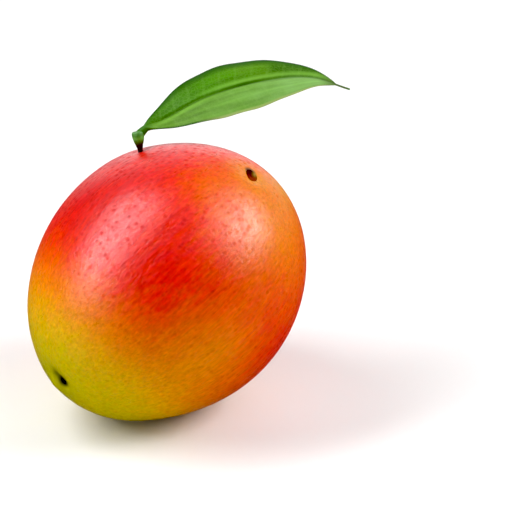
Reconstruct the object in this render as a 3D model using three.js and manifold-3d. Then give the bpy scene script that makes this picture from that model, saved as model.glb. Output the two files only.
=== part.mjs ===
// A ripe red and green mango with its woody stem scar, and a leaf on a short stalk that stands on its upper shoulder.
// Millimetres, +Z up. The origin is the middle of the small flat spot that the fruit rests on.
// The fruit leans on that spot: its fuller stem end points up and to the right (+X), its nose down and to the left.

import * as THREE from "three";
import { mergeVertices } from "three/addons/utils/BufferGeometryUtils.js";
import Module from "manifold-3d";

const wasm = await Module();
wasm.setup();

// The fruit's own frame: X along it towards the stem end, Y across it, Z towards its belly
const FRUIT = {
  halfLength: 56.2,
  halfWidth: 46.9,
  halfDepth: 48.5,
  stemEndFuller: 2.1,
  endsSlimmer: 1.5,
  bellyBend: 3.0,
};
// How it lies: the long axis rises by lean, points heading degrees round from +X, and is rolled about itself
const LIE = { lean: 32.8, heading: 31.4, roll: 51.0 };
const FRUIT_CENTRE = new THREE.Vector3(4.2, 0.9, 48.7);

// Places on the skin, in degrees: down from the stem pole, then round from the belly
const STEM_SCAR = { down: 33.4, round: 14.6 };
const STALK_FOOT = { down: 63.0, round: 73.5 };

// Relief of the skin: height of each swelling or hollow, and how wide it spreads.
// First the dimple of the stem scar in its low shoulder, then the pit of the stalk, then the nose:
// a pit where the flower's style stood, its groove, the small beak beside it, and the cheeks around them.
const RELIEF = [
  { ...STEM_SCAR, height: -1.8, spread: 5.4 },
  { ...STEM_SCAR, height: 0.4, spread: 12.0 },
  { ...STALK_FOOT, height: -0.8, spread: 3.4 },
  { down: 163.6, round: -4.5, height: -1.3, spread: 3.2 },
  { down: 163.6, round: 12.0, height: -0.9, spread: 3.8 },
  { down: 171.5, round: 4.0, height: 1.2, spread: 4.6 },
  { down: 160.0, round: 68.0, height: -0.7, spread: 12.0 },
  { down: 150.0, round: -96.0, height: 0.8, spread: 15.0 },
  { down: 69.0, round: 82.0, height: 0.5, spread: 14.0 },
];
const FRUIT_FACETS = { round: 60, along: 42 };

// Woody scar where the fruit's own stalk broke off: an oval disc with a hollow top, let into the skin
const SCAR = { radius: 2.6, longer: 1.25, rim: 0.5, proud: 0.6, hollow: 0.2, depth: 2.0, sides: 24 };

// Short stalk: a slim foot in the skin that widens upwards to a green knob
const STALK = { footRadius: 0.95, knobRadius: 2.2, height: 7.4, depth: 2.2, sides: 20 };
const STALK_DIRECTION = new THREE.Vector3(-0.15, 0.25, 0.956).normalize();

const CLEARANCE = 0.3;

// Leaf: the midrib's course, from inside the knob to the tip
const MIDRIB = new THREE.CatmullRomCurve3([
  new THREE.Vector3(-5.4, 16.7, 101.6),
  new THREE.Vector3(-1.9, 18.2, 104.5),
  new THREE.Vector3(5.1, 21.0, 107.7),
  new THREE.Vector3(19.2, 26.6, 113.9),
  new THREE.Vector3(39.6, 33.2, 117.1),
  new THREE.Vector3(58.5, 38.0, 116.1),
  new THREE.Vector3(73.2, 39.4, 110.7),
]);
const LEAF = {
  farHalf: { width: 12.6, skew: 0.96 },
  nearHalf: { width: 14.7, skew: 0.9 },
  bladeStart: 0.06,
  bladeEnd: 0.94,
  bluntness: 0.9,
  thickness: 0.8,
  petioleRadius: 1.15,
  ribDepth: 0.75,
  ribSpread: 1.1,
  tipRadius: 0.45,
  rollAtBase: 20,
  rollAtTip: 16,
  fold: 0.1,
  droop: 0.01,
  wave: 0.25,
  waves: 5,
};
const LEAF_FACETS = { along: 56, round: 24 };

const SKIN = new THREE.MeshStandardMaterial({ color: "#e2431d", roughness: 0.38, metalness: 0 });
const WOOD = new THREE.MeshStandardMaterial({ color: "#5a3216", roughness: 0.85, metalness: 0 });
const TWIG = new THREE.MeshStandardMaterial({ color: "#4f6f2b", roughness: 0.6, metalness: 0 });
const GREEN = new THREE.MeshStandardMaterial({ color: "#6fa43f", roughness: 0.42, metalness: 0 });

const rad = THREE.MathUtils.degToRad;
const lieOfFruit = new THREE.Euler(rad(LIE.roll), rad(-LIE.lean), rad(LIE.heading), "ZYX");

// Moves every vertex of a geometry by a formula, and keeps the positions alone so that its seams can close
function shaped(geometry, formula) {
  const moved = new THREE.BufferGeometry();
  moved.setIndex(geometry.index);
  moved.setAttribute("position", geometry.attributes.position.clone());
  const position = moved.attributes.position;
  const point = new THREE.Vector3();
  for (let i = 0; i < position.count; i++) {
    formula(point.fromBufferAttribute(position, i));
    position.setXYZ(i, point.x, point.y, point.z);
  }
  return moved;
}

// A closed geometry as a solid, with its seams merged
function solid(geometry) {
  const bare = new THREE.BufferGeometry();
  bare.setIndex(geometry.index);
  bare.setAttribute("position", geometry.attributes.position);
  const merged = mergeVertices(bare, 1e-4);
  return new wasm.Manifold(
    new wasm.Mesh({
      numProp: 3,
      vertProperties: merged.attributes.position.array,
      triVerts: new Uint32Array(merged.index.array),
    }),
  );
}

// A solid back as a named mesh
function piece(name, made, material) {
  const mesh = made.getMesh();
  const geometry = new THREE.BufferGeometry();
  geometry.setAttribute("position", new THREE.BufferAttribute(mesh.vertProperties, 3));
  geometry.setIndex(new THREE.BufferAttribute(mesh.triVerts, 1));
  geometry.computeVertexNormals();
  const named = new THREE.Mesh(geometry, material);
  named.name = name;
  return named;
}

// The fruit's smooth form: a slim-ended egg whose ends bend towards the belly
function smoothSkin(down, round, point = new THREE.Vector3()) {
  const along = Math.cos(down);
  const girth = FRUIT.stemEndFuller * along - FRUIT.endsSlimmer * Math.cos(2 * down);
  return point.set(
    FRUIT.halfLength * along,
    Math.sin(down) * Math.sin(round) * (FRUIT.halfWidth + girth),
    Math.sin(down) * Math.cos(round) * (FRUIT.halfDepth + girth) + FRUIT.bellyBend * (along * along - 1 / 3),
  );
}

// Outward direction of the skin, taken from the plain ellipsoid of the same size
function outward(point) {
  return new THREE.Vector3(
    point.x / FRUIT.halfLength ** 2,
    point.y / FRUIT.halfWidth ** 2,
    point.z / FRUIT.halfDepth ** 2,
  ).normalize();
}

const reliefCentres = RELIEF.map((mark) => ({
  ...mark,
  centre: smoothSkin(rad(mark.down), rad(mark.round)),
}));

// The skin with its relief: each mark adds a bell-shaped swelling or hollow round its centre
function skinAt(down, round, point = new THREE.Vector3()) {
  smoothSkin(down, round, point);
  let lift = 0;
  for (const mark of reliefCentres) {
    lift += mark.height * Math.exp(-((point.distanceTo(mark.centre) / mark.spread) ** 2));
  }
  return point.addScaledVector(outward(point), lift);
}

// A place on the skin in the part's frame, with the direction straight out of it
function placeOnSkin({ down, round }) {
  const local = skinAt(rad(down), rad(round));
  const direction = outward(smoothSkin(rad(down), rad(round))).applyEuler(lieOfFruit);
  return { point: local.applyEuler(lieOfFruit).add(FRUIT_CENTRE), direction };
}

// Stands a lathed piece at a point, its own Y along the direction and its own Z to the front (-Y)
function stood(geometry, point, direction) {
  const sideways = new THREE.Vector3().crossVectors(direction, new THREE.Vector3(0, -1, 0)).normalize();
  const forwards = new THREE.Vector3().crossVectors(sideways, direction);
  const turn = new THREE.Matrix4().makeBasis(sideways, direction, forwards);
  return geometry.applyMatrix4(turn).translate(point.x, point.y, point.z);
}

function fruitBody() {
  const ball = new THREE.SphereGeometry(1, FRUIT_FACETS.round, FRUIT_FACETS.along);
  const body = shaped(ball, (point) => {
    const down = Math.acos(THREE.MathUtils.clamp(point.y, -1, 1));
    const round = Math.atan2(point.z, point.x);
    skinAt(down, round, point);
    point.applyEuler(lieOfFruit).add(FRUIT_CENTRE);
  });
  return solid(body);
}

// Below the floor, to cut the flat spot
function belowFloor() {
  const reach = 4 * FRUIT.halfLength;
  return solid(new THREE.BoxGeometry(reach, reach, reach).translate(0, 0, -reach / 2));
}

// The scar's disc, grown by a clearance where it cuts its own seat
function scarDisc(grow = 0) {
  const { radius, longer, rim, proud, hollow, depth, sides } = SCAR;
  const profile = [
    [0, -depth - grow],
    [radius - rim + grow, -depth - grow],
    [radius + grow, rim - depth],
    [radius + grow, proud - rim / 2],
    [radius - rim + grow, proud + grow],
    [radius / 3, hollow + grow],
    [0, hollow + grow],
  ];
  const disc = new THREE.LatheGeometry(profile.map(([r, h]) => new THREE.Vector2(r, h)), sides);
  disc.scale(1, 1, longer);
  const seat = placeOnSkin(STEM_SCAR);
  return solid(stood(disc, seat.point, seat.direction));
}

// The stalk, grown by a clearance where it cuts its hole in the skin or the petiole's end
function stalkBody(grow = 0) {
  const { footRadius, knobRadius, height, depth, sides } = STALK;
  const profile = [
    [0, -depth - grow],
    [footRadius * 0.8 + grow, -depth - grow],
    [footRadius + grow, 0],
    [footRadius * 1.15 + grow, height * 0.2],
    [knobRadius * 0.72 + grow, height * 0.5],
    [knobRadius * 0.97 + grow, height * 0.72],
    [knobRadius + grow, height * 0.86],
    [knobRadius * 0.82 + grow, height * 0.96 + grow],
    [0, height + grow],
  ];
  const stalk = new THREE.LatheGeometry(profile.map(([r, h]) => new THREE.Vector2(r, h)), sides);
  return solid(stood(stalk, placeOnSkin(STALK_FOOT).point, STALK_DIRECTION));
}

// Half width of the blade at s, from 0 at the petiole's end to 1 at the tip
function halfWidth({ width, skew }, s) {
  const share = THREE.MathUtils.clamp((s - LEAF.bladeStart) / (LEAF.bladeEnd - LEAF.bladeStart), 0, 1);
  return width * Math.sin(Math.PI * share ** skew) ** LEAF.bluntness;
}

// Closed rings of points in a row, with flat ends. Both faces of a blade are split along the same diagonals.
function ringsBody(rings) {
  const count = rings[0].length;
  const middle = (ring) => ring.reduce((sum, p) => sum.add(p), new THREE.Vector3()).divideScalar(count);
  const points = [...rings.flat(), middle(rings[0]), middle(rings.at(-1))];
  const firstEnd = rings.length * count;
  const lastRing = firstEnd - count;
  const index = [];
  for (let j = 0; j < count; j++) {
    const next = (j + 1) % count;
    index.push(firstEnd, next, j);
    index.push(firstEnd + 1, lastRing + j, lastRing + next);
    for (let ring = 0; ring < lastRing; ring += count) {
      const [a, b, c, d] = [ring + j, ring + next, ring + count + next, ring + count + j];
      index.push(...(j < count / 2 ? [a, b, d, b, c, d] : [a, b, c, a, c, d]));
    }
  }
  const geometry = new THREE.BufferGeometry().setFromPoints(points);
  geometry.setIndex(index);
  return solid(geometry);
}

// A point of the leaf at s along it; the angle runs over the upper face from the far edge and back underneath
function leafPoint(s, angle) {
  const across = Math.cos(angle);
  const face = Math.sin(angle);
  const bladeShare = THREE.MathUtils.smoothstep(s, LEAF.bladeStart, LEAF.bladeStart + 0.1);
  const rodRadius = THREE.MathUtils.lerp(LEAF.petioleRadius, LEAF.tipRadius, Math.min(1, s / LEAF.bladeEnd));
  const half = across > 0 ? LEAF.farHalf : LEAF.nearHalf;
  const reach = across * Math.max(rodRadius, halfWidth(half, s));
  const rib = face < 0 ? LEAF.ribDepth * (1 - s) * Math.exp(-((reach / LEAF.ribSpread) ** 2)) : 0;
  const flat = Math.sign(face) * Math.abs(face) ** 0.4 * (LEAF.thickness / 2 + rib);
  const ripple = LEAF.wave * (reach / half.width) ** 2 * Math.sin(2 * Math.PI * LEAF.waves * s);
  const sag = LEAF.fold * Math.abs(reach) - LEAF.droop * reach ** 2 + ripple;
  const height = THREE.MathUtils.lerp(face * rodRadius, flat + sag, bladeShare);
  const ahead = MIDRIB.getTangentAt(s);
  const aside = new THREE.Vector3(0, 0, 1).cross(ahead).normalize();
  const over = new THREE.Vector3().crossVectors(ahead, aside);
  const roll = rad(THREE.MathUtils.lerp(LEAF.rollAtBase, LEAF.rollAtTip, s));
  return MIDRIB.getPointAt(s)
    .addScaledVector(aside, reach * Math.cos(roll) - height * Math.sin(roll))
    .addScaledVector(over, reach * Math.sin(roll) + height * Math.cos(roll));
}

// Petiole, blade and midrib as one body
function leafBody() {
  const rings = [];
  for (let i = 0; i <= LEAF_FACETS.along; i++) {
    const ring = [];
    for (let j = 0; j < LEAF_FACETS.round; j++) {
      ring.push(leafPoint(i / LEAF_FACETS.along, (2 * Math.PI * j) / LEAF_FACETS.round));
    }
    rings.push(ring);
  }
  return ringsBody(rings);
}

const fruit = fruitBody().subtract(belowFloor()).subtract(scarDisc(CLEARANCE)).subtract(stalkBody(CLEARANCE));
const leaf = leafBody().subtract(stalkBody(CLEARANCE));

const mango = new THREE.Group();
mango.name = "mango";
mango.add(
  piece("fruit", fruit, SKIN),
  piece("stem_scar", scarDisc(), WOOD),
  piece("leaf_stalk", stalkBody(), TWIG),
  piece("leaf", leaf, GREEN),
);

export default mango;
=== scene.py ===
import bpy
import numpy as np
from mathutils import Euler, Matrix, Vector


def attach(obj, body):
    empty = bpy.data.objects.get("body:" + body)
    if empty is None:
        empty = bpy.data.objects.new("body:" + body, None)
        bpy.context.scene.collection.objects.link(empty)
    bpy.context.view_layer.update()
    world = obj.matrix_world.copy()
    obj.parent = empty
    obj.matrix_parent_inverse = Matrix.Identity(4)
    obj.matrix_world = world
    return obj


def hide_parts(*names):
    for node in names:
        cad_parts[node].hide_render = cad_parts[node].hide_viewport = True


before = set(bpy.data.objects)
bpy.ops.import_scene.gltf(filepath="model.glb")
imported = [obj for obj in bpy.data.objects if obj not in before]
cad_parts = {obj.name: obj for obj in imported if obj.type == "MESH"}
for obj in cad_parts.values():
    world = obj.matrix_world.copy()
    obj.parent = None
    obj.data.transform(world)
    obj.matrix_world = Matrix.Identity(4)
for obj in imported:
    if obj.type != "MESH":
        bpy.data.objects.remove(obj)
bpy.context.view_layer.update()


# Camera: a long lens a metre from the fruit, looking down on it by 26 degrees.
# The fruit and its leaf lie to the left of the picture's middle.
CAMERA_DISTANCE = 1.0
CAMERA_ELEVATION = 26.0
CAMERA_AIM = Vector((0.03803, 0.00531, 0.05774))
PICTURE_WIDTH = 0.1906
SENSOR_WIDTH = 36.0

camera = bpy.data.objects.new("camera", bpy.data.cameras.new("camera"))
bpy.context.collection.objects.link(camera)
camera.data.sensor_width = SENSOR_WIDTH
camera.data.lens = SENSOR_WIDTH * CAMERA_DISTANCE / PICTURE_WIDTH
tilt = np.radians(CAMERA_ELEVATION)
camera.location = CAMERA_AIM + CAMERA_DISTANCE * Vector((0.0, -np.cos(tilt), np.sin(tilt)))
camera.rotation_euler = Euler((np.pi / 2 - tilt, 0.0, 0.0))
bpy.context.scene.camera = camera


# Fruit: one grown body of flesh in a thin waxy skin, leaning on the soft flat spot under it.
# Its skin dips round the woody scar and the leaf's stalk, and pinches into a beak at the nose.

# In metres
FRUIT_HALF_SIZE = np.array([0.0562, 0.0469, 0.0485])
STEM_END_FULLER = 0.0021
ENDS_SLIMMER = 0.0015
BELLY_BEND = 0.0030
FRUIT_CENTRE = np.array([0.0042, 0.0009, 0.0487])
FLAT_SPOT_EASE = 0.0004
# In degrees
FRUIT_LEAN = 32.8
FRUIT_HEADING = 31.4
FRUIT_ROLL = 51.0
FRUIT_ROWS = 240
FRUIT_COLUMNS = 400

# Places on the skin: degrees down from the stem pole, degrees round from the belly
STEM_SCAR_PLACE = (33.4, 14.6)
# Middle of the painted shade of the stem scar's dimple
DIMPLE_SHADE_PLACE = (31.2, 18.6)
STALK_PLACE = (63.0, 73.5)
NOSE_PLACE = (172.0, 10.0)
STYLE_PLACE = (165.4, -4.8)
GROOVE_END = (164.8, 15.8)
SKIN_RELIEF = [
    # place, height and spread in metres
    (*STEM_SCAR_PLACE, -0.0009, 0.0054),
    (*STEM_SCAR_PLACE, 0.0004, 0.0120),
    (*STALK_PLACE, -0.0008, 0.0034),
    (*STYLE_PLACE, -0.0013, 0.0032),
    (*GROOVE_END, -0.0009, 0.0038),
    (171.5, 4.0, 0.0012, 0.0046),
    (160.0, 68.0, -0.0007, 0.0120),
    (150.0, -96.0, 0.0008, 0.0150),
    (69.0, 82.0, 0.0005, 0.0140),
]
# The olive along the nose's groove is painted shade in the crease
GROOVE_SHADE_STRENGTH = 0.75
GROOVE_SPREAD = 0.0019

# Where the sun reddened the skin: the red ends at an angle from the stem pole that swings round the fruit,
# in degrees
BLUSH_EDGE = 117.6
BLUSH_SWING = 6.5
BLUSH_SWING_FROM = 60.0
BLUSH_SOFTNESS = 8.4
PALER_PATCHES = [
    # place, spread in degrees, share of the red that is missing
    (41.4, -25.8, 35.7, 0.57),
    (103.9, -41.2, 24.4, 0.55),
    (*STEM_SCAR_PLACE, 10.0, 0.55),
    (56.0, 22.0, 11.0, 0.20),
    (18.0, -16.0, 11.0, 0.55),
    (105.0, -125.0, 38.0, 0.70),
]

# How the fruit lies: rolled about its own axis, leaned with its stem end up, and turned on the floor
lie = np.array(Matrix.Rotation(np.radians(FRUIT_HEADING), 3, "Z")
               @ Matrix.Rotation(np.radians(-FRUIT_LEAN), 3, "Y")
               @ Matrix.Rotation(np.radians(FRUIT_ROLL), 3, "X"))


def smooth_skin(down, around):
    """The fruit's plain form in its own frame, X to the stem end and Z to the belly: an ellipsoid whose
    girth grows with the cosine of down and shrinks with the cosine of twice it, and whose ends bend to
    the belly."""
    along = np.cos(down)
    girth = STEM_END_FULLER * along - ENDS_SLIMMER * np.cos(2 * down)
    length, width, depth = FRUIT_HALF_SIZE
    return np.stack([
        length * along,
        np.sin(down) * np.sin(around) * (width + girth),
        np.sin(down) * np.cos(around) * (depth + girth) + BELLY_BEND * (along ** 2 - 1 / 3),
    ], -1)


def outward(points):
    """The ellipsoid's gradient at a point: each coordinate over its half size squared, made one long."""
    slope = points / FRUIT_HALF_SIZE ** 2
    return slope / np.linalg.norm(slope, axis=-1, keepdims=True)


def skin(down, around):
    """The plain form, moved outwards at each mark by a bell curve: its height times the exponential of less
    the square of distance over spread."""
    points = smooth_skin(down, around)
    lift = np.zeros(points.shape[:-1])
    for mark_down, mark_around, height, spread in SKIN_RELIEF:
        centre = smooth_skin(np.radians(mark_down), np.radians(mark_around))
        lift += height * np.exp(-(np.linalg.norm(points - centre, axis=-1) / spread) ** 2)
    return points + outward(points) * lift[..., None]


def placed(points):
    """From the fruit's own frame to the part's frame."""
    return points @ lie.T + FRUIT_CENTRE


def degrees_apart(down, around, place_down, place_around):
    """The angle between two directions from the fruit's middle: the arc cosine of their product."""
    a, b = np.radians(place_down), np.radians(place_around)
    product = np.cos(down) * np.cos(a) + np.sin(down) * np.sin(a) * np.cos(around - b)
    return np.degrees(np.arccos(np.clip(product, -1.0, 1.0)))


def blush(down, around):
    """How red the skin is, 0 to 1: a logistic step in down over the swinging edge, times one minus a bell
    curve for each paler patch."""
    edge = BLUSH_EDGE + BLUSH_SWING * np.cos(around - np.radians(BLUSH_SWING_FROM))
    red = 1 / (1 + np.exp((np.degrees(down) - edge) / BLUSH_SOFTNESS))
    for place_down, place_around, spread, missing in PALER_PATCHES:
        apart = degrees_apart(down, around, place_down, place_around)
        red = red * (1 - missing * np.exp(-(apart / spread) ** 2))
    return red


def groove_painted_shade(points):
    """How much painted shade darkens the nose's groove at a point: a bell curve of its distance from the
    line between the style's pit and the groove's far end."""
    start, end = smooth_skin(*np.radians(STYLE_PLACE)), smooth_skin(*np.radians(GROOVE_END))
    share = np.clip((points - start) @ (end - start) / ((end - start) @ (end - start)), 0, 1)
    apart = np.linalg.norm(points - start - share[..., None] * (end - start), axis=-1)
    return GROOVE_SHADE_STRENGTH * np.exp(-(apart / GROOVE_SPREAD) ** 2)


def closed_mesh(name, grid, first_end, last_end, marks):
    """A mesh from a grid of points, rows along the piece and columns round it. The columns close on
    themselves and each end closes on one point. Marks are attributes: for each, its values at the grid's
    points and at both ends."""
    rows, columns, _ = grid.shape
    corner = np.arange(rows * columns).reshape(rows, columns)
    midrib_painted_light = np.roll(corner, -1, axis=1)
    quads = np.stack([corner[:-1], midrib_painted_light[:-1], midrib_painted_light[1:], corner[1:]], -1).reshape(-1, 4)
    first, last = rows * columns, rows * columns + 1
    start = np.stack([np.full(columns, first), midrib_painted_light[0], corner[0]], -1)
    end = np.stack([np.full(columns, last), corner[-1], midrib_painted_light[-1]], -1)
    mesh = bpy.data.meshes.new(name)
    mesh.from_pydata(
        np.concatenate([grid.reshape(-1, 3), [first_end], [last_end]]).tolist(),
        [],
        quads.tolist() + start.tolist() + end.tolist(),
    )
    mesh.shade_smooth()
    for mark, (values, at_first, at_last) in marks.items():
        layer = mesh.attributes.new(mark, "FLOAT", "POINT")
        values = np.concatenate([values.ravel(), [at_first, at_last]])
        layer.data.foreach_set("value", values.astype(np.float32))
    made = bpy.data.objects.new(name, mesh)
    bpy.context.collection.objects.link(made)
    return made


def linear(code):
    """An sRGB hex colour as linear red, green, blue and alpha."""
    channels = np.array([int(code[i:i + 2], 16) / 255 for i in (1, 3, 5)])
    channels = np.where(channels <= 0.04045, channels / 12.92, ((channels + 0.055) / 1.055) ** 2.4)
    return (*channels.tolist(), 1.0)


def add(material, kind, inputs=None, stops=None, **settings):
    """Adds a node. Inputs holds sockets by name or number, each with a value or the socket that feeds it,
    and stops the hex colours of a colour ramp by position."""
    tree = material.node_tree
    made = tree.nodes.new("ShaderNode" + kind)
    for name, value in settings.items():
        setattr(made, name, value)
    for key, value in (inputs or {}).items():
        if isinstance(value, bpy.types.NodeSocket):
            tree.links.new(value, made.inputs[key])
        else:
            made.inputs[key].default_value = value
    for i, (position, code) in enumerate(stops or []):
        elements = made.color_ramp.elements
        element = elements[i] if i < 2 else elements.new(position)
        element.position = position
        element.color = linear(code)
    return made


def new_material(name):
    """A material with no node in it yet."""
    made = bpy.data.materials.new(name)
    made.use_nodes = True
    made.node_tree.nodes.clear()
    return made


down, around = np.meshgrid(
    np.linspace(0, np.pi, FRUIT_ROWS + 2)[1:-1],
    np.linspace(0, 2 * np.pi, FRUIT_COLUMNS, endpoint=False),
    indexing="ij",
)
fruit_grid = placed(skin(down, around))
fruit_ends = [placed(skin(np.array(pole), np.array(0.0))) for pole in (0.0, np.pi)]
# The flat spot: half the sum of a height and its hypotenuse with the ease, so that heights stop at the floor
fruit_grid[..., 2] = (fruit_grid[..., 2] + np.hypot(fruit_grid[..., 2], FLAT_SPOT_EASE)) / 2
fruit = closed_mesh("mango_skin", fruit_grid, *fruit_ends, marks={
    "blush": (blush(down, around), blush(0.0, 0.0), blush(np.pi, 0.0)),
    "groove": (groove_painted_shade(smooth_skin(down, around)), 0.0, 0.0),
})
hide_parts("fruit")
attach(fruit, "root")

# Ripe mango skin: grown, waxed by the fruit itself and wiped clean. Red pigment lies in streaks along the
# fruit over a yellow-green ground, the wax gives broad soft highlights, and corky pores break them up with
# dull dots. Each pattern's size is given as how many fit in a metre.
STREAKS = (80.0, 440.0, 440.0)
BLOTCHES = 65.0
MOTTLES = 520.0
GRAINS_TO_A_STREAK = 2.2
PORES = 450.0
PORE_TINT = "#bc9888"
# Painted shade of the dimple beside the stem scar
DIMPLE_SHADE_BROWN = "#3a0a00"
NOSE_GREEN = "#9c9800"
# Painted shade in the nose's groove
GROOVE_SHADE_OLIVE = "#3c3c00"
STYLE_BLACK = "#161200"
SKIN_STAINS_AND_SHADE = [
    # place, how far the full mark and its fading reach in metres, strength: painted shade of the dimple
    # beside the stem scar, greener skin round the nose, and the dry black point of the flower's style
    (DIMPLE_SHADE_PLACE, 0.0012, 0.0030, 0.95),
    (NOSE_PLACE, 0.004, 0.016, 0.85),
    (STYLE_PLACE, 0.0010, 0.0032, 1.0),
]

mango_skin = new_material("ripe mango skin, waxy")
spot = add(mango_skin, "TexCoord").outputs["Object"]
fruit_spot = add(mango_skin, "Mapping", {
    "Vector": spot,
    "Rotation": Matrix(lie.T.tolist()).to_euler(),
    "Location": Vector((-lie.T @ FRUIT_CENTRE).tolist()),
}).outputs[0]
ripeness = add(mango_skin, "Attribute", attribute_name="blush").outputs["Fac"]
# Pigment streaks about 12 mm long and 2 mm wide along the fruit
along_fruit = add(mango_skin, "Mapping", {"Vector": fruit_spot, "Scale": STREAKS}).outputs[0]
streaks = add(mango_skin, "TexNoise", {
    "Vector": along_fruit, "Scale": 1.0, "Detail": 3.0, "Roughness": 0.55,
}).outputs[0]
# Blotches about 15 mm and mottling about 2 mm across
blotches = add(mango_skin, "TexNoise", {"Vector": fruit_spot, "Scale": BLOTCHES, "Detail": 2.0}).outputs[0]
mottling = add(mango_skin, "TexNoise", {
    "Vector": fruit_spot, "Scale": MOTTLES, "Detail": 3.0, "Roughness": 0.6,
}).outputs[0]
# The three together waver about zero, and less where the skin is yellow than where it is red
uneven = -0.48
for pattern, weight in ((streaks, 0.46), (blotches, 0.20), (mottling, 0.30)):
    uneven = add(mango_skin, "Math", {0: pattern, 1: weight, 2: uneven}, operation="MULTIPLY_ADD").outputs[0]
unevenness = add(mango_skin, "Math", {0: ripeness, 1: 0.65, 2: 0.28}, operation="MULTIPLY_ADD").outputs[0]
red = add(mango_skin, "Math", {0: uneven, 1: unevenness, 2: ripeness}, operation="MULTIPLY_ADD").outputs[0]
red = add(mango_skin, "MapRange", {0: red, 1: 0.0, 2: 1.2}).outputs[0]
colour = add(mango_skin, "ValToRGB", {0: red}, stops=[
    (0.0, "#b4a402"),
    (0.1, "#ce9902"),
    (0.25, "#d67e02"),
    (0.38, "#d86c04"),
    (0.5, "#d75a04"),
    (0.63, "#d64104"),
    (0.73, "#d52208"),
    (0.83, "#ca0c0c"),
    (1.0, "#ae0206"),
]).outputs[0]
# Grain of the skin, in flecks about 1 mm wide and 6 mm long so that they show, by estimate five times
# what is real
grain = add(mango_skin, "TexNoise", {
    "Vector": along_fruit, "Scale": GRAINS_TO_A_STREAK, "Detail": 3.0, "Roughness": 0.7,
}).outputs[0]
grain = add(mango_skin, "MapRange", {0: grain, 1: 0.3, 2: 0.7, 3: 0.80, 4: 1.20}).outputs[0]
colour = add(mango_skin, "HueSaturation", {"Value": grain, "Color": colour}).outputs[0]
# Pores about 1 mm across and 2 mm apart so that they show, by estimate twice as wide as real ones; some
# are fainter than others
pores = add(mango_skin, "TexVoronoi", {"Vector": fruit_spot, "Scale": PORES})
pore_strength = add(mango_skin, "SeparateColor", {0: pores.outputs["Color"]}).outputs[0]
pore_strength = add(mango_skin, "MapRange", {0: pore_strength, 3: 0.3, 4: 0.9}).outputs[0]
pore = add(mango_skin, "MapRange", {0: pores.outputs["Distance"], 1: 0.06, 2: 0.54, 3: 1.0, 4: 0.0},
           interpolation_type="SMOOTHSTEP").outputs[0]
pore = add(mango_skin, "Math", {0: pore, 1: pore_strength}, operation="MULTIPLY").outputs[0]
pore_tint = add(mango_skin, "Math", {0: pore, 1: unevenness}, operation="MULTIPLY").outputs[0]
pore_tint = add(mango_skin, "Math", {0: pore_tint, 1: 0.45}, operation="MULTIPLY").outputs[0]
colour = add(mango_skin, "Mix", {0: pore_tint, 6: colour, 7: linear(PORE_TINT)},
             data_type="RGBA", blend_type="MULTIPLY").outputs[2]
# Stains and painted shade, from the lowest layer to the highest: the brown beside the stem scar is painted
# shade of its dimple, and the olive along the nose's groove is painted shade in its crease
stains_and_shade = []
for place, full, faded, strength in SKIN_STAINS_AND_SHADE:
    middle = Vector(placed(skin(*np.radians(place))).tolist())
    apart = add(mango_skin, "VectorMath", {0: spot, 1: middle}, operation="DISTANCE").outputs["Value"]
    stains_and_shade.append(add(mango_skin, "MapRange", {0: apart, 1: full, 2: faded, 3: strength, 4: 0.0},
                      interpolation_type="SMOOTHSTEP").outputs[0])
# The first is painted shade of the stem scar's dimple
dimple_shade, nose, style = stains_and_shade
groove = add(mango_skin, "Attribute", attribute_name="groove").outputs["Fac"]
for stain_and_shade, code in ((dimple_shade, DIMPLE_SHADE_BROWN), (nose, NOSE_GREEN), (groove, GROOVE_SHADE_OLIVE), (style, STYLE_BLACK)):
    colour = add(mango_skin, "Mix", {0: stain_and_shade, 6: colour, 7: linear(code)}, data_type="RGBA").outputs[2]
# The wax is duller along the streaks and on the pores
dullness = add(mango_skin, "MapRange", {0: streaks, 1: 0.3, 2: 0.7, 3: 0.28, 4: 0.46}).outputs[0]
dullness = add(mango_skin, "Math", {0: pore, 1: 0.30, 2: dullness}, operation="MULTIPLY_ADD").outputs[0]
dullness = add(mango_skin, "Math", {0: dullness, 1: grain}, operation="MULTIPLY").outputs[0]
gloss = add(mango_skin, "MapRange", {0: pore, 1: 0.0, 2: 0.8, 3: 0.28, 4: 0.13}).outputs[0]
# Relief up to about 0.1 mm: pores sink below the mottling, and streaks and grain stand over it
height = mottling
for pattern, weight in ((pore, -0.5), (streaks, 1.1), (grain, 0.7)):
    height = add(mango_skin, "Math", {0: pattern, 1: weight, 2: height}, operation="MULTIPLY_ADD").outputs[0]
bumps = add(mango_skin, "Bump", {"Strength": 0.8, "Distance": 0.00015, "Height": height}).outputs[0]
bsdf = add(mango_skin, "BsdfPrincipled", {
    "Base Color": colour,
    "Roughness": dullness,
    "Specular IOR Level": gloss,
    "Coat Weight": 0.10,
    "Coat Roughness": 0.3,
    "Normal": bumps,
})
add(mango_skin, "OutputMaterial", {"Surface": bsdf.outputs[0]})
fruit.data.materials.append(mango_skin)


# Stem scar: the corky oval disc where the fruit's own stalk broke off, sunk in its dimple. The skin has
# grown over its edge on one side. The dried cork is near black at the back and brown in front, partly its
# own colour and partly painted shade of the dimple, with one tan notch.
SCAR_RADIUS = 0.0026
SCAR_LONGER = 1.4
SCAR_RIM = 0.0005
SCAR_PROUD = 0.0006
SCAR_HOLLOW = 0.0002
SCAR_DEPTH = 0.0020
SCAR_ROWS = 60
SCAR_COLUMNS = 72
SCAR_TEAR_HEIGHT = 0.00008
SCAR_EDGE_DROP = 0.0001
# In shares of the radius, with angles in radians round the disc; a wave has its number and its phase
SCAR_GROWN_OVER = 0.28
SCAR_GROWN_MIDDLE = np.radians(205.0)
SCAR_GROWN_SPREAD = 0.75
SCAR_TEAR = 0.03
SCAR_TEAR_WAVES = ((3, 0.4), (5, 2.1), (8, 4.0), (13, 1.2))
SCAR_FRONT = (0.4, -0.9)
NOTCH_PLACE = (0.62, 0.62)
NOTCH_SPREAD = (0.40, 0.5)


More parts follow.
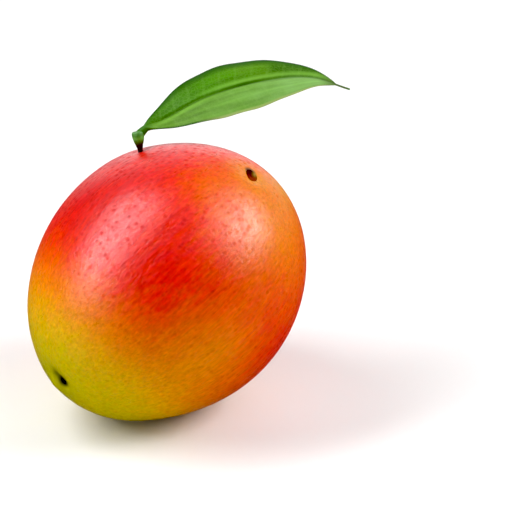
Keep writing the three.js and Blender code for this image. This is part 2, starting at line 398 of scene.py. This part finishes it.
def lathed(profile, turn, rows):
    """Rings of points from a profile of radius and height: the profile is walked evenly by its length,
    from one end on the axis to the other, and turned about the axis Z."""
    profile = np.array(profile)
    length = np.concatenate([[0], np.cumsum(np.linalg.norm(np.diff(profile, axis=0), axis=1))])
    walked = np.linspace(0, 1, rows + 2)[1:-1, None] * length[-1]
    radius = np.interp(walked, length, profile[:, 0])
    height = np.interp(walked, length, profile[:, 1])
    return radius * np.cos(turn), radius * np.sin(turn), height + 0 * turn


def stood(x, y, z, point, direction):
    """Stands a piece at a point with its own Z along a direction: x goes to the side and y to the back,
    both square to it."""
    sideways = np.cross(direction, (0.0, -1.0, 0.0))
    sideways = sideways / np.linalg.norm(sideways)
    backwards = np.cross(direction, sideways)
    return point + x[..., None] * sideways + y[..., None] * backwards + z[..., None] * direction


scar_turn = np.linspace(0, 2 * np.pi, SCAR_COLUMNS, endpoint=False)
scar_x, scar_y, scar_z = lathed([
    (0.0, -SCAR_DEPTH),
    (SCAR_RADIUS - SCAR_RIM, -SCAR_DEPTH),
    (SCAR_RADIUS, SCAR_RIM - SCAR_DEPTH),
    (SCAR_RADIUS, SCAR_PROUD - SCAR_RIM / 2),
    (SCAR_RADIUS - SCAR_RIM, SCAR_PROUD),
    (SCAR_RADIUS * 0.62, SCAR_PROUD * 0.7),
    (SCAR_RADIUS / 3, SCAR_HOLLOW),
    (0.0, SCAR_HOLLOW),
], scar_turn, SCAR_ROWS)
# Torn edge: the disc's radius and height waver with a few cosines round it
torn = sum(np.cos(waves * scar_turn + phase) / waves for waves, phase in SCAR_TEAR_WAVES)
scar_out = np.hypot(scar_x, scar_y) / SCAR_RADIUS
grown_over = SCAR_GROWN_OVER * np.exp(-((scar_turn - SCAR_GROWN_MIDDLE) / SCAR_GROWN_SPREAD) ** 2)
scar_edge = 1 - SCAR_TEAR + SCAR_TEAR * torn - grown_over
scar_z = scar_z + np.where(scar_z > 0, SCAR_TEAR_HEIGHT * torn - SCAR_EDGE_DROP, 0.0) * scar_out
scar_point = placed(skin(*np.radians(STEM_SCAR_PLACE)))
scar_direction = outward(smooth_skin(*np.radians(STEM_SCAR_PLACE))) @ lie.T
scar_grid = stood(scar_x * scar_edge, scar_y * scar_edge * SCAR_LONGER, scar_z, scar_point, scar_direction)
scar_ends = [scar_point + height * scar_direction for height in (-SCAR_DEPTH, SCAR_HOLLOW)]
# Marks of the disc: how far to the front a point lies, and a bell curve round the notch
scar_side, scar_back = np.cos(scar_turn) * scar_out, np.sin(scar_turn) * scar_out
notch_side = (scar_side - NOTCH_PLACE[0]) / NOTCH_SPREAD[0]
notch_back = (scar_back - NOTCH_PLACE[1]) / NOTCH_SPREAD[1]
scar = closed_mesh("corky_scar", scar_grid, *scar_ends, marks={
    "front": (SCAR_FRONT[0] * scar_side + SCAR_FRONT[1] * scar_back, 0.0, 0.0),
    "notch": (np.exp(-(notch_side ** 2 + notch_back ** 2)), 0.0, 0.0),
})
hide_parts("stem_scar")
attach(scar, "root")

# Cork dried on the fruit: matt and crumbly, with crumbs about 0.7 mm wide, 1400 to a metre, that break up
# its black and brown
CRUMBS = 1400.0
NOTCH_TAN = "#a08440"

scar_cork = new_material("cork, dried and torn")
spot = add(scar_cork, "TexCoord").outputs["Object"]
crumbs = add(scar_cork, "TexNoise", {
    "Vector": spot, "Scale": CRUMBS, "Detail": 3.0, "Roughness": 0.7,
}).outputs[0]
front = add(scar_cork, "Attribute", attribute_name="front").outputs["Fac"]
notch = add(scar_cork, "Attribute", attribute_name="notch").outputs["Fac"]
front = add(scar_cork, "Math", {0: crumbs, 1: 0.9, 2: front}, operation="MULTIPLY_ADD").outputs[0]
front = add(scar_cork, "MapRange", {0: front, 1: -0.6, 2: 1.5}).outputs[0]
# Near black at the back to brown in front: partly the cork's own colour, partly painted shade of the dimple
colour = add(scar_cork, "ValToRGB", {0: front}, stops=[
    (0.1, "#2c0600"),
    (0.4, "#480c00"),
    (0.7, "#782400"),
    (1.0, "#8e3a06"),
]).outputs[0]
colour = add(scar_cork, "Mix", {0: notch, 6: colour, 7: linear(NOTCH_TAN)}, data_type="RGBA").outputs[2]
bumps = add(scar_cork, "Bump", {"Strength": 0.8, "Distance": 0.0003, "Height": crumbs}).outputs[0]
bsdf = add(scar_cork, "BsdfPrincipled", {
    "Base Color": colour, "Roughness": 0.9, "Specular IOR Level": 0.05, "Normal": bumps,
})
add(scar_cork, "OutputMaterial", {"Surface": bsdf.outputs[0]})
scar.data.materials.append(scar_cork)


# Leaf stalk: a slim foot, dried black where it stands in the skin, that widens upwards to a green knob. It
# is young wood, grown in one piece, and the leaf's petiole grows out of the knob's side.
FOOT_RADIUS = 0.00095
KNOB_RADIUS = 0.0023
STALK_HEIGHT = 0.0078
STALK_DEPTH = 0.0022
STALK_DIRECTION = np.array([-0.15, 0.25, 0.956])
STALK_DIRECTION = STALK_DIRECTION / np.linalg.norm(STALK_DIRECTION)
STALK_ROWS = 90
STALK_COLUMNS = 64
# Shares of the radius, and how fast the fine ribs wind round the stalk, in radians a metre
RIB_SINK = 0.04
RIB_SIZE = 0.03
FINE_RIB_SIZE = 0.012
FINE_RIB_WIND = 300.0

stalk_turn = np.linspace(0, 2 * np.pi, STALK_COLUMNS, endpoint=False)
stalk_x, stalk_y, stalk_z = lathed([
    (0.0, -STALK_DEPTH),
    (0.8 * FOOT_RADIUS, -STALK_DEPTH),
    (FOOT_RADIUS, 0.0),
    (1.1 * FOOT_RADIUS, 0.16 * STALK_HEIGHT),
    (0.60 * KNOB_RADIUS, 0.34 * STALK_HEIGHT),
    (0.80 * KNOB_RADIUS, 0.5 * STALK_HEIGHT),
    (0.92 * KNOB_RADIUS, 0.62 * STALK_HEIGHT),
    (0.98 * KNOB_RADIUS, 0.72 * STALK_HEIGHT),
    (KNOB_RADIUS, 0.84 * STALK_HEIGHT),
    (0.97 * KNOB_RADIUS, 0.94 * STALK_HEIGHT),
    (0.84 * KNOB_RADIUS, 0.99 * STALK_HEIGHT),
    (0.4 * KNOB_RADIUS, STALK_HEIGHT),
    (0.0, STALK_HEIGHT),
], stalk_turn, STALK_ROWS)
# Young wood is ribbed along: five ribs and nine fine winding ones waver its radius, as cosines round it
ribbed = 1 - RIB_SINK + RIB_SIZE * np.cos(5 * stalk_turn + 1.0)
ribbed = ribbed + FINE_RIB_SIZE * np.cos(9 * stalk_turn + FINE_RIB_WIND * stalk_z)
stalk_point = placed(skin(*np.radians(STALK_PLACE)))
stalk_grid = stood(stalk_x * ribbed, stalk_y * ribbed, stalk_z, stalk_point, STALK_DIRECTION)
stalk_ends = [stalk_point + height * STALK_DIRECTION for height in (-STALK_DEPTH, STALK_HEIGHT)]
stalk = closed_mesh("leaf_stalk_twig", stalk_grid, *stalk_ends, marks={
    "up": (stalk_z / STALK_HEIGHT, 0.0, 1.0),
})
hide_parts("leaf_stalk")
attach(stalk, "root")

# Green twig, grown: a satin green rind that turns brown and black towards the dried foot, with a grain of
# about 0.9 mm, 1100 to a metre, that breaks up the border between them
TWIG_GRAINS = 1100.0

green_twig = new_material("young green wood, dried foot")
spot = add(green_twig, "TexCoord").outputs["Object"]
grain = add(green_twig, "TexNoise", {"Vector": spot, "Scale": TWIG_GRAINS, "Detail": 3.0}).outputs[0]
up = add(green_twig, "Attribute", attribute_name="up").outputs["Fac"]
up = add(green_twig, "Math", {0: grain, 1: 0.3, 2: up}, operation="MULTIPLY_ADD").outputs[0]
colour = add(green_twig, "ValToRGB", {0: up}, stops=[
    (0.34, "#0c0401"),
    (0.50, "#241002"),
    (0.62, "#34500e"),
    (0.80, "#62a03a"),
    (1.0, "#3c741e"),
]).outputs[0]
bumps = add(green_twig, "Bump", {"Strength": 0.6, "Distance": 0.00015, "Height": grain}).outputs[0]
bsdf = add(green_twig, "BsdfPrincipled", {
    "Base Color": colour, "Roughness": 0.5, "Specular IOR Level": 0.35, "Normal": bumps,
})
add(green_twig, "OutputMaterial", {"Surface": bsdf.outputs[0]})
stalk.data.materials.append(green_twig)


# Leaf: one grown piece of petiole, midrib and two blade halves that fold up a little from the midrib and
# wave along their margins. Side veins leave the midrib in pairs and curve to the tip, and the blade swells
# between them.
MIDRIB_POINTS = np.array([
    [-0.0054, 0.0167, 0.1016],
    [-0.0019, 0.0182, 0.1045],
    [0.0051, 0.0210, 0.1071],
    [0.0192, 0.0266, 0.1128],
    [0.0396, 0.0332, 0.1165],
    [0.0585, 0.0380, 0.1159],
    [0.0732, 0.0394, 0.1107],
])
LEAF_ROWS = 260
LEAF_COLUMNS = 60
# Each half's greatest width, and the power that skews it towards one end
FAR_HALF = (0.0136, 0.96)
NEAR_HALF = (0.0138, 0.97)
# In metres
BLADE_THICKNESS = 0.0006
PETIOLE_RADIUS = 0.00115
PETIOLE_SWELL = 0.0006
TIP_RADIUS = 0.00045
MIDRIB_DEPTH = 0.00075
MIDRIB_SPREAD = 0.0011
FURROW_DEPTH = 0.0005
FURROW_SPREAD = 0.0007
WAVE_HEIGHT = 0.00025
QUILTING = 0.00007
QUILTING_STARTS = 0.0006
QUILTING_FULL = 0.003
# In shares of the leaf's length
BLADE_START = 0.026
BLADE_END = 0.94
BLADE_OPENING = 0.1
PETIOLE_SWELL_LENGTH = 0.05
TIP_LENGTH = 0.02
# In degrees
ROLL_AT_BASE = 20.0
ROLL_AT_TIP = 16.0
# Powers, counts and slopes
BLUNTNESS = 0.9
MARGIN_ROUNDNESS = 0.4
MARGIN_WITHOUT_QUILTING = 0.15
QUILTING_FULLNESS = 0.7
FURROW_FADING = 0.6
FOLD = 0.1
DROOP = 10.0
WAVES = 5
VEIN_PAIRS = 14
VEIN_SLANT = 62.0
VEIN_CURVE = 900.0
FAR_VEINS_BEHIND = 0.35
SPLINE_STEPS = 4001


def spline(points, share):
    """A centripetal Catmull-Rom curve: between two points, a cubic whose end slopes follow the neighbours,
    with each stretch timed by the square root of its length. Walked evenly by length."""
    ends = np.concatenate([[2 * points[0] - points[1]], points, [2 * points[-1] - points[-2]]])
    gap = np.linalg.norm(np.diff(ends, axis=0), axis=1)[:, None] ** 0.5
    before, here, there, after = ends[:-3], ends[1:-2], ends[2:-1], ends[3:]
    g0, g1, g2 = gap[:-2], gap[1:-1], gap[2:]
    leaving = ((here - before) / g0 - (there - before) / (g0 + g1) + (there - here) / g1) * g1
    arriving = ((there - here) / g1 - (after - here) / (g1 + g2) + (after - there) / g2) * g1

    def at(t):
        i = np.minimum(t.astype(int), len(here) - 1)
        f = (t - i)[:, None]
        a, b, c, d = here[i], there[i], leaving[i], arriving[i]
        return a + c * f + (3 * (b - a) - 2 * c - d) * f ** 2 + (2 * (a - b) + c + d) * f ** 3

    t = np.linspace(0, len(here), SPLINE_STEPS)
    length = np.concatenate([[0], np.cumsum(np.linalg.norm(np.diff(at(t), axis=0), axis=1))])
    return at(np.interp(share * length[-1], length, t))


def smoothstep(value, low, high):
    """Three times the square less twice the cube of the share from low to high."""
    share = np.clip((value - low) / (high - low), 0, 1)
    return share ** 2 * (3 - 2 * share)


def half_width(half, course):
    """A blade half's width at a share of the length: a skewed and blunted sine."""
    width, skew = half
    share = np.clip((course - BLADE_START) / (BLADE_END - BLADE_START), 0, 1)
    return width * np.sin(np.pi * share ** skew) ** BLUNTNESS


# Course is the share of the leaf's length, margin goes from -1 at the near margin to 1 at the far one, and
# face is 1 on top, -1 below and 0 on the margins
course = np.linspace(0, 1, LEAF_ROWS)[:, None]
# Across one face from margin to margin, closer together over the midrib and towards the margins
step = np.linspace(1, -1, LEAF_COLUMNS + 1)
top = np.sin(np.pi / 2 * step * (0.45 + 0.55 * step ** 2))
margin = np.concatenate([top, top[-2:0:-1]])[None, :]
face = np.concatenate([np.ones(LEAF_COLUMNS), [0], -np.ones(LEAF_COLUMNS - 1)])[None, :]
face[0, 0] = 0
lens = np.sqrt(np.clip(1 - margin ** 2, 0, 1))
flatness = smoothstep(course, BLADE_START, BLADE_START + BLADE_OPENING)
rod_radius = PETIOLE_RADIUS + (TIP_RADIUS - PETIOLE_RADIUS) * np.minimum(1, course / BLADE_END)
rod_radius = rod_radius + PETIOLE_SWELL * np.exp(-(course / PETIOLE_SWELL_LENGTH) ** 2)
wide = np.where(margin > 0, half_width(FAR_HALF, course), half_width(NEAR_HALF, course))
widest = np.where(margin > 0, FAR_HALF[0], NEAR_HALF[0])
# Distance from the midrib, and how the two faces thicken and sink there: bell curves of that distance
reach = margin * np.maximum(rod_radius, wide)
rib = (face < 0) * MIDRIB_DEPTH * (1 - course) * np.exp(-(reach / MIDRIB_SPREAD) ** 2)
sunk = (face > 0) * FURROW_DEPTH * (1 - FURROW_FADING * course) * np.exp(-(reach / FURROW_SPREAD) ** 2)
thick = face * lens ** MARGIN_ROUNDNESS * (BLADE_THICKNESS / 2 + rib) - sunk
# Side veins are where this phase is whole: it runs along the leaf and lags with the distance from the midrib
vein_phase = VEIN_PAIRS * course - np.abs(reach) * VEIN_SLANT + VEIN_CURVE * reach ** 2
vein_phase = vein_phase + FAR_VEINS_BEHIND * (margin > 0)
# The blade swells between the veins, but not by the midrib and the margins
swell = QUILTING * np.abs(np.sin(np.pi * vein_phase)) ** QUILTING_FULLNESS
swell = swell * smoothstep(np.abs(reach), QUILTING_STARTS, QUILTING_FULL)
swell = swell * smoothstep(1 - np.abs(margin), 0.0, MARGIN_WITHOUT_QUILTING)
ripple = WAVE_HEIGHT * (reach / widest) ** 2 * np.sin(2 * np.pi * WAVES * course)
sag = FOLD * np.abs(reach) - DROOP * reach ** 2 + ripple + swell
height = face * lens * rod_radius * (1 - flatness) + (thick + sag) * flatness
# The section at each point of the midrib stands square to its course, rolled about it
midrib = spline(MIDRIB_POINTS, course[:, 0])
ahead = np.gradient(midrib, axis=0)
ahead = ahead / np.linalg.norm(ahead, axis=1, keepdims=True)
aside = np.cross((0.0, 0.0, 1.0), ahead)
aside = aside / np.linalg.norm(aside, axis=1, keepdims=True)
over = np.cross(ahead, aside)
roll = np.radians(ROLL_AT_BASE + (ROLL_AT_TIP - ROLL_AT_BASE) * course)
leaf_grid = (midrib[:, None]
             + aside[:, None] * (reach * np.cos(roll) - height * np.sin(roll))[..., None]
             + over[:, None] * (reach * np.sin(roll) + height * np.cos(roll))[..., None])
leaf = closed_mesh("mango_leaf", leaf_grid, midrib[0], midrib[-1], marks={
    "along": (course + 0 * margin, 0.0, 1.0),
    "across": (margin + 0 * course, 0.0, 0.0),
    "reach": (reach * 1000, 0.0, 0.0),
    "vein": (vein_phase, 0.0, float(VEIN_PAIRS)),
    "under": ((1 - face) / 2 + 0 * course, 0.5, 0.5),
    "blade": (flatness * smoothstep(1 - course, 0.0, TIP_LENGTH) + 0 * margin, 0.0, 0.0),
})
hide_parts("leaf")
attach(leaf, "root")

# Mango leaf, fresh: a leathery cuticle with a soft gloss, painted paler on the near half as painted light
# and deeper green on the far half as painted shade, with painted shade in the furrow over the midrib, a
# painted pale streak of light beside it, and paler veins and net between them. The far margin is dark, the
# near one pale, and the tip brownish. Clouds and net have their number to a metre, the streaks to a length
# and to half a width.
LEAF_CLOUDS = 130.0
LEAF_NET = 650.0
LEAF_STREAKS = (2.6, 5.0, 1.0)
VEIN_GREEN = "#7aa848"
NET_GREEN = "#84a858"
# Painted light on the lit side of the furrow beside the midrib
MIDRIB_PAINTED_LIGHT_GREEN = "#76aa40"
# Painted shade in the furrow over the midrib
FURROW_SHADE_GREEN = "#285000"
FAR_RIM_GREEN = "#245006"
TIP_BROWN = "#34460c"
PETIOLE_GREEN = "#38661a"
UNDERSIDE_GREEN = "#6c8c44"

leaf_skin = new_material("fresh leaf, leathery cuticle")
spot = add(leaf_skin, "TexCoord").outputs["Object"]
along = add(leaf_skin, "Attribute", attribute_name="along").outputs["Fac"]
across = add(leaf_skin, "Attribute", attribute_name="across").outputs["Fac"]
reach_mm = add(leaf_skin, "Attribute", attribute_name="reach").outputs["Fac"]
phase = add(leaf_skin, "Attribute", attribute_name="vein").outputs["Fac"]
under = add(leaf_skin, "Attribute", attribute_name="under").outputs["Fac"]
blade = add(leaf_skin, "Attribute", attribute_name="blade").outputs["Fac"]
# Clouds about 8 mm wide vary the green of both halves, which also changes along the leaf
clouds = add(leaf_skin, "TexNoise", {
    "Vector": spot, "Scale": LEAF_CLOUDS, "Detail": 3.0, "Roughness": 0.6,
}).outputs[0]
half = add(leaf_skin, "MapRange", {0: reach_mm, 1: -1.0, 2: 1.0}, interpolation_type="SMOOTHSTEP").outputs[0]
tone = add(leaf_skin, "Math", {0: clouds, 1: 0.5, 2: along}, operation="MULTIPLY_ADD").outputs[0]
# The near half is painted paler, as painted light, and the far half deeper, as painted shade
near_half_lit_green = add(leaf_skin, "ValToRGB", {0: tone}, stops=[
    (0.35, "#507a1e"),
    (0.7, "#628e38"),
    (1.0, "#76a254"),
]).outputs[0]
# The far half is one even green where the tone passes one, in its outer part
far_half_shaded_green = add(leaf_skin, "ValToRGB", {0: tone}, stops=[
    (0.35, "#386808"),
    (0.65, "#46800e"),
    (0.85, "#4c7a14"),
    (1.0, "#305c0a"),
    (1.0, "#3c6814"),
]).outputs[0]
colour = add(leaf_skin, "Mix", {0: half, 6: near_half_lit_green, 7: far_half_shaded_green}, data_type="RGBA").outputs[2]
# Lengthwise streaks between the midrib and the margins, about 3 mm wide and 30 mm long, with finer ones
# in them
lengthwise = add(leaf_skin, "CombineXYZ", {0: along, 1: across}).outputs[0]
lengthwise = add(leaf_skin, "Mapping", {"Vector": lengthwise, "Scale": LEAF_STREAKS}).outputs[0]
lengthwise = add(leaf_skin, "TexNoise", {"Vector": lengthwise, "Scale": 1.0, "Detail": 2.0}).outputs[0]
lengthwise = add(leaf_skin, "MapRange", {0: lengthwise, 1: 0.3, 2: 0.7, 3: 0.76, 4: 1.18}).outputs[0]
colour = add(leaf_skin, "HueSaturation", {"Value": lengthwise, "Color": colour}).outputs[0]
# Side veins, drawn about 1 mm wide so that they show, by estimate three times what is real
vein = add(leaf_skin, "Math", {0: phase, 1: 0.5}, operation="PINGPONG").outputs[0]
vein = add(leaf_skin, "MapRange", {0: vein, 1: 0.03, 2: 0.14, 3: 0.10, 4: 0.0},
           interpolation_type="SMOOTHSTEP").outputs[0]
vein = add(leaf_skin, "Math", {0: vein, 1: blade}, operation="MULTIPLY").outputs[0]
# The net of small veins, in cells about 1.5 mm wide so that they show, by estimate twice what is real
net = add(leaf_skin, "TexVoronoi", {"Vector": spot, "Scale": LEAF_NET}, feature="DISTANCE_TO_EDGE")
net = add(leaf_skin, "MapRange", {0: net.outputs["Distance"], 1: 0.02, 2: 0.14, 3: 0.10, 4: 0.0}).outputs[0]
# Beside the midrib a pale streak of painted light, on the lit side of its furrow: on the near side towards
# the base and on the far side beyond it
outer = add(leaf_skin, "MapRange", {0: along, 1: 0.25, 2: 0.50}, interpolation_type="SMOOTHSTEP").outputs[0]
far_lit_streak = add(leaf_skin, "MapRange", {0: reach_mm, 1: -2.0, 2: 4.0}).outputs[0]
far_lit_streak = add(leaf_skin, "ValToRGB", {0: far_lit_streak}, stops=[
    (0.40, "#000000"), (0.53, "#ffffff"), (0.66, "#ffffff"), (0.90, "#000000"),
]).outputs[0]
near_lit_streak = add(leaf_skin, "MapRange", {0: reach_mm, 1: -4.0, 2: 2.0}).outputs[0]
near_lit_streak = add(leaf_skin, "ValToRGB", {0: near_lit_streak}, stops=[
    (0.10, "#000000"), (0.34, "#ffffff"), (0.47, "#ffffff"), (0.60, "#000000"),
]).outputs[0]
midrib_painted_light = add(leaf_skin, "Mix", {0: outer, 6: near_lit_streak, 7: far_lit_streak}, data_type="RGBA").outputs[2]
midrib_painted_light = add(leaf_skin, "Math", {0: midrib_painted_light, 1: 0.6}, operation="MULTIPLY").outputs[0]
midrib_painted_light = add(leaf_skin, "Math", {0: midrib_painted_light, 1: blade}, operation="MULTIPLY").outputs[0]
# Painted shade in the furrow over the midrib, darkest halfway along the leaf
furrow_shade = add(leaf_skin, "Math", {0: reach_mm}, operation="ABSOLUTE").outputs[0]
furrow_shade = add(leaf_skin, "MapRange", {0: furrow_shade, 1: 0.3, 2: 1.6, 3: 1.0, 4: 0.0},
             interpolation_type="SMOOTHSTEP").outputs[0]
furrow_shade = add(leaf_skin, "Math", {0: furrow_shade, 1: blade}, operation="MULTIPLY").outputs[0]
furrow_shade_fade = add(leaf_skin, "ValToRGB", {0: along}, stops=[
    (0.12, "#848484"), (0.36, "#c3c3c3"), (0.52, "#ffffff"), (0.64, "#cbcbcb"), (0.82, "#606060"),
]).outputs[0]
furrow_shade = add(leaf_skin, "Math", {0: furrow_shade, 1: furrow_shade_fade}, operation="MULTIPLY").outputs[0]
# Rims: dark on the far margin, and on the near one dark at the base and pale beyond it
far_rim = add(leaf_skin, "MapRange", {0: across, 1: 0.60, 2: 0.94},
              interpolation_type="SMOOTHSTEP").outputs[0]
near_rim = add(leaf_skin, "MapRange", {0: across, 1: -0.90, 2: -0.97},
               interpolation_type="SMOOTHSTEP").outputs[0]
near_rim_green = add(leaf_skin, "ValToRGB", {0: along}, stops=[
    (0.24, "#2a5206"),
    (0.36, "#8a9c58"),
]).outputs[0]
# Tip, petiole and the paler underside
tip = add(leaf_skin, "MapRange", {0: along, 1: 0.84, 2: 0.95, 3: 0.0, 4: 0.8},
          interpolation_type="SMOOTHSTEP").outputs[0]
petiole = add(leaf_skin, "MapRange", {0: blade, 1: 0.0, 2: 0.6, 3: 1.0, 4: 0.0}).outputs[0]
underside = add(leaf_skin, "MapRange", {0: under, 1: 0.5, 2: 1.0, 3: 0.0, 4: 0.7}).outputs[0]
# Each is laid over those before it
for share, green in (
    (vein, linear(VEIN_GREEN)),
    (net, linear(NET_GREEN)),
    (midrib_painted_light, linear(MIDRIB_PAINTED_LIGHT_GREEN)),
    (furrow_shade, linear(FURROW_SHADE_GREEN)),
    (far_rim, linear(FAR_RIM_GREEN)),
    (near_rim, near_rim_green),
    (tip, linear(TIP_BROWN)),
    (petiole, linear(PETIOLE_GREEN)),
    (underside, linear(UNDERSIDE_GREEN)),
):
    colour = add(leaf_skin, "Mix", {0: share, 6: colour, 7: green}, data_type="RGBA").outputs[2]
dullness = add(leaf_skin, "MapRange", {0: clouds, 1: 0.3, 2: 0.7, 3: 0.42, 4: 0.54}).outputs[0]
dullness = add(leaf_skin, "Math", {0: underside, 1: 0.25, 2: dullness}, operation="MULTIPLY_ADD").outputs[0]
height = add(leaf_skin, "Math", {0: net, 1: -3.0, 2: clouds}, operation="MULTIPLY_ADD").outputs[0]
bumps = add(leaf_skin, "Bump", {"Strength": 0.5, "Distance": 0.0001, "Height": height}).outputs[0]
bsdf = add(leaf_skin, "BsdfPrincipled", {
    "Base Color": colour, "Roughness": dullness, "Specular IOR Level": 0.10, "Normal": bumps,
})
add(leaf_skin, "OutputMaterial", {"Surface": bsdf.outputs[0]})
leaf.data.materials.append(leaf_skin)


# Floor: a pale seamless studio table, painted a little off white, and full white towards the back, where
# less light reaches it, so that the whole backdrop looks white from the front.
FLOOR_SIZE = 6.0
FLOOR_NEAR = "#f2f2f2"
FLOOR_BACK = "#ffffff"
BACK_STARTS = 0.15
BACK_FULL = 0.45

bpy.ops.mesh.primitive_plane_add(size=FLOOR_SIZE, location=(0.0, 0.0, 0.0))
floor = bpy.context.object
floor.name = "floor"
studio_white = new_material("painted white table")
spot = add(studio_white, "TexCoord").outputs["Object"]
back = add(studio_white, "SeparateXYZ", {0: spot}).outputs["Y"]
back = add(studio_white, "MapRange", {0: back, 1: BACK_STARTS, 2: BACK_FULL},
           interpolation_type="SMOOTHSTEP").outputs[0]
paint = add(studio_white, "Mix", {0: back, 6: linear(FLOOR_NEAR), 7: linear(FLOOR_BACK)},
            data_type="RGBA").outputs[2]
bsdf = add(studio_white, "BsdfPrincipled", {
    "Base Color": paint, "Roughness": 0.8, "Specular IOR Level": 0.2,
})
add(studio_white, "OutputMaterial", {"Surface": bsdf.outputs[0]})
floor.data.materials.append(studio_white)
floor.visible_glossy = False


# Studio light: two softboxes that light the fruit from the left and the right, in a room that is bright
# behind the table and dim in front of it. The cards are seen only as highlights in the wax, and the fills
# only as light.
ROOM_BRIGHT_WAY = Vector((0.0, 0.95, 0.31))
ROOM_BRIGHT_FROM = 0.79
ROOM_DIM = 0.08
ROOM_BRIGHT = 2.0
BLACK_LEVEL = 0.023
STUDIO_LIGHTS = [
    # name, direction from the fruit, distance, width, length, way that the length lies, radiance,
    # whether it lights the surfaces, whether it shows in their gloss
    ("left_softbox", (-0.68, -0.05, 0.73), 0.9, 0.36, 0.85, (-0.55, -0.64, -0.54), 8.8, True, True),
    ("right_softbox", (0.82, -0.02, 0.57), 0.9, 0.44, 0.46, (0.0, 1.0, 0.0), 10.8, True, True),
    ("left_card", (-0.65, -0.225, 0.73), 0.9, 0.46, 1.3, (-0.62, -0.44, -0.50), 9.9, False, True),
    ("right_card", (0.75, -0.03, 0.69), 0.9, 0.76, 0.72, (0.0, 1.0, 0.0), 6.0, False, True),
    ("right_rim_card", (0.64, 0.76, 0.14), 0.9, 0.60, 0.30, (0.0, 0.0, 1.0), 0.8, False, True),
    ("low_fill", (-0.50, -0.83, 0.15), 1.1, 0.9, 0.7, (0.0, 0.0, 1.0), 1.28, True, False),
    ("front_fill", (0.30, -0.62, 0.72), 1.1, 0.9, 0.7, (0.0, 0.0, 1.0), 0.8, True, False),
]

world = bpy.data.worlds.new("studio")
bpy.context.scene.world = world
world.use_nodes = True
world.node_tree.nodes.clear()
# The room's glow rises from dim to bright as the cosine of the angle to its brightest way nears one
view_way = add(world, "TexCoord").outputs["Generated"]
facing = add(world, "VectorMath", {0: view_way, 1: ROOM_BRIGHT_WAY}, operation="DOT_PRODUCT")
glow = add(world, "MapRange", {
    0: facing.outputs["Value"], 1: ROOM_BRIGHT_FROM, 2: 1.0, 3: ROOM_DIM, 4: ROOM_BRIGHT,
}, interpolation_type="SMOOTHSTEP").outputs[0]
room = add(world, "Background", {"Color": (1.0, 1.0, 1.0, 1.0), "Strength": glow})
add(world, "OutputWorld", {"Surface": room.outputs[0]})

for name, direction, distance, width, length, length_way, radiance, lights, shows in STUDIO_LIGHTS:
    # A flat rectangle that faces the fruit; its power is pi times radiance times area
    away = Vector(direction).normalized()
    long_side = (Vector(length_way) - Vector(length_way).dot(away) * away).normalized()
    light = bpy.data.lights.new(name, "AREA")
    light.shape = "RECTANGLE"
    light.size = width
    light.size_y = length
    light.energy = radiance * np.pi * width * length
    lamp = bpy.data.objects.new(name, light)
    bpy.context.collection.objects.link(lamp)
    turn = Matrix((long_side.cross(away), long_side, away)).transposed()
    lamp.matrix_world = Matrix.Translation(Vector(FRUIT_CENTRE) + distance * away) @ turn.to_4x4()
    lamp.visible_diffuse = lights
    lamp.visible_glossy = shows

# The picture's darkest tones are set down a little, for a photograph's contrast
look = bpy.context.scene.view_settings
look.view_transform = "Standard"
look.use_curve_mapping = True
look.curve_mapping.black_level = (BLACK_LEVEL, BLACK_LEVEL, BLACK_LEVEL)
look.curve_mapping.update()
